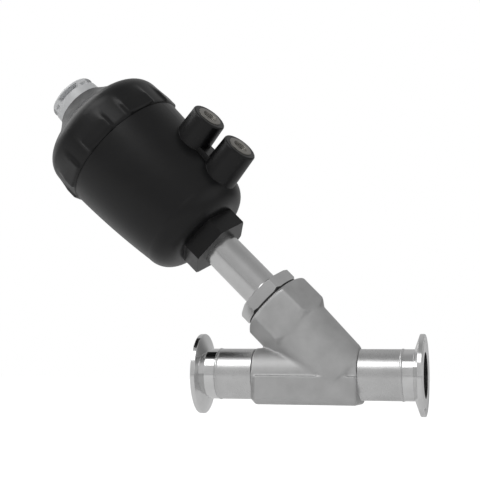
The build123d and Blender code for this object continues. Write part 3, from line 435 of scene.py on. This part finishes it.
# Heights of the cap are along the stem, from the pivot.
CAP_FOOT, CAP_TOP, CAP_CEILING, SPIGOT_FOOT = 138.5 * MM, 150.1 * MM, 147.7 * MM, 131.52 * MM
CAP_FOOT_RADIUS, CAP_TOP_RADIUS = 17.2 * MM, 16.4 * MM
CAP_HOLLOW_RADIUS, SPIGOT_RADIUS = 9.6 * MM, 12.0 * MM
CAP_EDGE = 1.2 * MM
CAP_EDGE_STEPS = (22, 45, 68, 90)
CAP_ROWS = 32
CAP_SEGMENTS = 144
CAP_FRONT = Vector((0.25, -0.96, -0.1))  # the side that has the middle of a window
WINDOW = {"height": 146.4 * MM, "deep": 4.5 * MM}
WINDOW_TURN = (radians(26), radians(3))  # half width and blend
WINDOW_RISE = (1.3 * MM, 0.35 * MM)
NOTCH = {"height": 145.2 * MM, "deep": 1.6 * MM}
NOTCH_TURN = (radians(4), radians(4))
NOTCH_RISE = (0.6 * MM, 0.4 * MM)


def within(value, half, blend):
    """1 inside a half width, 0 beyond its blend, soft between."""
    share = min(1, max(0, (half + blend - abs(value)) / blend))
    return share * share * (3 - 2 * share)


def grip_cap():
    """The indicator cap with four long grip windows and a notch between each two."""
    wall_top = CAP_TOP - CAP_EDGE
    outline = []
    for row in range(CAP_ROWS + 1):
        share = row / CAP_ROWS
        height = CAP_FOOT + (wall_top - CAP_FOOT) * share
        slope = (height - CAP_FOOT) / (CAP_TOP - CAP_FOOT)
        outline.append((CAP_FOOT_RADIUS + (CAP_TOP_RADIUS - CAP_FOOT_RADIUS) * slope, height))
    edge_radius = CAP_TOP_RADIUS - CAP_EDGE
    for degrees in CAP_EDGE_STEPS:
        bend = radians(degrees)
        outline.append((edge_radius + CAP_EDGE * cos(bend), wall_top + CAP_EDGE * sin(bend)))
    outline += [(0, CAP_TOP), (0, CAP_CEILING), (CAP_HOLLOW_RADIUS, CAP_CEILING)]
    outline += [(CAP_HOLLOW_RADIUS, SPIGOT_FOOT), (SPIGOT_RADIUS, SPIGOT_FOOT)]
    outline += [(SPIGOT_RADIUS, CAP_FOOT)]

    def gripped(radius, height, angle):
        if radius < CAP_TOP_RADIUS or height > wall_top:
            return radius
        quarter = pi / 2
        turn = (angle + quarter / 2) % quarter - quarter / 2
        window = within(turn, *WINDOW_TURN) * within(height - WINDOW["height"], *WINDOW_RISE)
        turn = angle % quarter - quarter / 2
        notch = within(turn, *NOTCH_TURN) * within(height - NOTCH["height"], *NOTCH_RISE)
        return radius - WINDOW["deep"] * window - NOTCH["deep"] * notch

    start = (CAP_FRONT - stem_axis * CAP_FRONT.dot(stem_axis)).normalized()
    return lathe(outline, CAP_SEGMENTS, stem_axis, pivot, start, gripped)


def return_coil(name, node):
    """A return spring, put in its CAD node's place as its own copy of that mesh (the rising piston presses the
    real spring together).
    """
    coil = show(name, nodes[node].data.copy(), node, "actuator")
    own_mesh(coil)


casting = softened(nodes["valve_body"].data, amount=cast_edges, **CAST_NET)
show("body_casting", casting, "valve_body", "valve")
dome = softened(dome_with_pads(), amount=moulded_edges, **DOME_NET)
show("dome_shell", dome, "upper_housing", "actuator")
show("cap_with_grips", grip_cap(), "indicator_cap", "actuator")
return_coil("outer_coil", "outer_spring")
return_coil("inner_coil", "inner_spring")
for level in ("lower", "upper"):
    insert = threaded_insert(level)
    show(level + "_threaded_insert", insert, level + "_port_insert", "actuator")


# ---------------------------------------------------------------- studio
def tent_patch(tree, level, direction_socket, toward, inner, outer, value):
    """Blends a tent level towards a value inside a soft round patch of sky."""
    dot = tree.nodes.new("ShaderNodeVectorMath")
    dot.operation = "DOT_PRODUCT"
    dot.inputs[1].default_value = Vector(toward).normalized()
    tree.links.new(direction_socket, dot.inputs[0])
    edge, core = cos(radians(outer)), cos(radians(inner))
    share = spread(tree, dot.outputs["Value"], 0, 1, edge, core, smooth=True)
    mix = tree.nodes.new("ShaderNodeMix")
    mix.inputs["B"].default_value = value
    tree.links.new(share, mix.inputs["Factor"])
    tree.links.new(level, mix.inputs["A"])
    return mix.outputs["Result"]


TENT_LEVELS = (
    (0.0, 0.34),
    (0.12, 0.44),
    (0.30, 0.62),
    (0.46, 0.60),
    (0.56, 0.46),
    (0.70, 0.50),
    (0.80, 0.52),
    (0.90, 0.34),
    (1.0, 0.24),
)
TENT_PATCHES = (
    # toward, inner and outer half angle in degrees, level
    ((0.0, 1.0, 0.55), 20, 62, 0.40),
    ((-0.72, -0.56, -0.34), 8, 26, 0.02),
    ((0.80, 0.60, 0.05), 14, 36, 0.04),
    ((-0.60, 0.74, 0.22), 10, 32, 0.55),
    ((-0.90, 0.30, -0.45), 20, 44, 0.95),
    ((0.85, -0.25, 0.10), 14, 36, 0.78),
)


GLOSS_SHARE = 0.15  # how much of the white backdrop polished surfaces show


def shown_rays(tree):
    """1 for rays that show the backdrop itself, a share of it for reflections."""
    path = tree.nodes.new("ShaderNodeLightPath")
    gloss = tree.nodes.new("ShaderNodeMath")
    gloss.operation = "MULTIPLY_ADD"
    gloss.inputs[1].default_value = GLOSS_SHARE
    tree.links.new(path.outputs["Is Glossy Ray"], gloss.inputs[0])
    tree.links.new(path.outputs["Is Transmission Ray"], gloss.inputs[2])
    total = tree.nodes.new("ShaderNodeMath")
    total.use_clamp = True
    tree.links.new(gloss.outputs[0], total.inputs[0])
    tree.links.new(path.outputs["Is Camera Ray"], total.inputs[1])
    return total.outputs[0]


def studio_world():
    """A pale tent round the object, white where the camera sees it."""
    world = bpy.data.worlds.new("studio")
    bpy.context.scene.world = world
    world.use_nodes = True
    tree = world.node_tree
    tree.nodes.clear()
    output = tree.nodes.new("ShaderNodeOutputWorld")
    coordinates = tree.nodes.new("ShaderNodeTexCoord")
    direction = coordinates.outputs["Generated"]
    split = tree.nodes.new("ShaderNodeSeparateXYZ")
    tree.links.new(direction, split.inputs[0])
    ramp = tree.nodes.new("ShaderNodeValToRGB")
    ramp.color_ramp.interpolation = "EASE"
    elements = ramp.color_ramp.elements
    for index, (place, level) in enumerate(TENT_LEVELS):
        element = elements[index] if index < 2 else elements.new(place)
        element.position = place
        element.color = (*grey(level), 1)
    tree.links.new(spread(tree, split.outputs["Z"], 0, 1, -1, 1), ramp.inputs["Fac"])
    level = ramp.outputs["Color"]
    for toward, inner, outer, value in TENT_PATCHES:
        level = tent_patch(tree, level, direction, toward, inner, outer, value)
    tent = tree.nodes.new("ShaderNodeBackground")
    tree.links.new(level, tent.inputs["Color"])
    seen = shown_rays(tree)
    white = tree.nodes.new("ShaderNodeBackground")
    white.inputs["Color"].default_value = (1, 1, 1, 1)
    mix = tree.nodes.new("ShaderNodeMixShader")
    tree.links.new(seen, mix.inputs["Fac"])
    tree.links.new(tent.outputs["Background"], mix.inputs[1])
    tree.links.new(white.outputs["Background"], mix.inputs[2])
    tree.links.new(mix.outputs[0], output.inputs["Surface"])


def softbox(name, place, target, width, height, power):
    """A rectangular area lamp turned towards a point."""
    lamp = bpy.data.lights.new(name, "AREA")
    lamp.shape = "RECTANGLE"
    lamp.size = width
    lamp.size_y = height
    lamp.energy = power
    holder = bpy.data.objects.new(name, lamp)
    bpy.context.scene.collection.objects.link(holder)
    holder.location = place
    holder.rotation_euler = (Vector(target) - Vector(place)).to_track_quat("-Z", "Y").to_euler()


FLOOR_REACH = 8.0
FLOOR_HEIGHT = -0.12
FLOOR_COLOUR = grey(0.8)
FLOOR_GLOW = 0.78  # brings the floor that the camera sees up to white


def studio_floor():
    """A wide white sheet under the object."""
    mesh = bpy.data.meshes.new("floor")
    signs = ((-1, -1), (1, -1), (1, 1), (-1, 1))
    corners = [(x * FLOOR_REACH, y * FLOOR_REACH, FLOOR_HEIGHT) for x, y in signs]
    mesh.from_pydata(corners, [], [(0, 1, 2, 3)])
    floor = bpy.data.objects.new("floor", mesh)
    bpy.context.scene.collection.objects.link(floor)
    material = bpy.data.materials.new("floor")
    material.use_nodes = True
    tree = material.node_tree
    tree.nodes.clear()
    output = tree.nodes.new("ShaderNodeOutputMaterial")
    paper = tree.nodes.new("ShaderNodeBsdfDiffuse")
    paper.inputs["Color"].default_value = (*FLOOR_COLOUR, 1)
    glow = tree.nodes.new("ShaderNodeEmission")
    lift = tree.nodes.new("ShaderNodeMath")
    lift.operation = "MULTIPLY"
    lift.inputs[1].default_value = FLOOR_GLOW
    tree.links.new(shown_rays(tree), lift.inputs[0])
    tree.links.new(lift.outputs[0], glow.inputs["Strength"])
    both = tree.nodes.new("ShaderNodeAddShader")
    tree.links.new(paper.outputs[0], both.inputs[0])
    tree.links.new(glow.outputs[0], both.inputs[1])
    tree.links.new(both.outputs[0], output.inputs["Surface"])
    mesh.materials.append(material)


CAMERA_AZIMUTH, CAMERA_ELEVATION, CAMERA_ROLL = 0.258553, -0.110898, 0.006737  # radians
CAMERA_DISTANCE = 0.71957
CAMERA_LENS, CAMERA_SENSOR = 83.58, 36.0
TARGET_BEHIND_CROSSING, TARGET_HEIGHT = 0.06773, 0.08574


def studio_camera():
    """The camera looks slightly upward, from the pipe's height and a little to the inlet's side."""
    azimuth, elevation, roll = CAMERA_AZIMUTH, CAMERA_ELEVATION, CAMERA_ROLL
    target = Vector((crossing.x - TARGET_BEHIND_CROSSING, 0, TARGET_HEIGHT))
    level = Vector((sin(azimuth), -cos(azimuth), 0))
    back = level * cos(elevation) + Vector((0, 0, sin(elevation)))
    right = (-back).cross(Vector((0, 0, 1))).normalized()
    up = right.cross(-back)
    tilted_right = right * cos(roll) + up * sin(roll)
    tilted_up = up * cos(roll) - right * sin(roll)
    data = bpy.data.cameras.new("camera")
    data.sensor_width = CAMERA_SENSOR
    data.lens = CAMERA_LENS
    data.clip_start = 0.01
    camera = bpy.data.objects.new("camera", data)
    bpy.context.scene.collection.objects.link(camera)
    turn = Matrix((tilted_right, tilted_up, back)).transposed()
    place = Matrix.Translation(target + back * CAMERA_DISTANCE)
    camera.matrix_world = place @ turn.to_4x4()
    bpy.context.scene.camera = camera


studio_world()
studio_floor()
MIDDLE = (0.03, 0.0, 0.08)
softbox("key", (-0.30, -0.80, 1.02), MIDDLE, width=0.8, height=0.6, power=3.6)
softbox("side", (-0.95, 0.05, 0.85), MIDDLE, width=1.0, height=1.0, power=5.5)
studio_camera()
bpy.context.scene.view_settings.view_transform = "Standard"
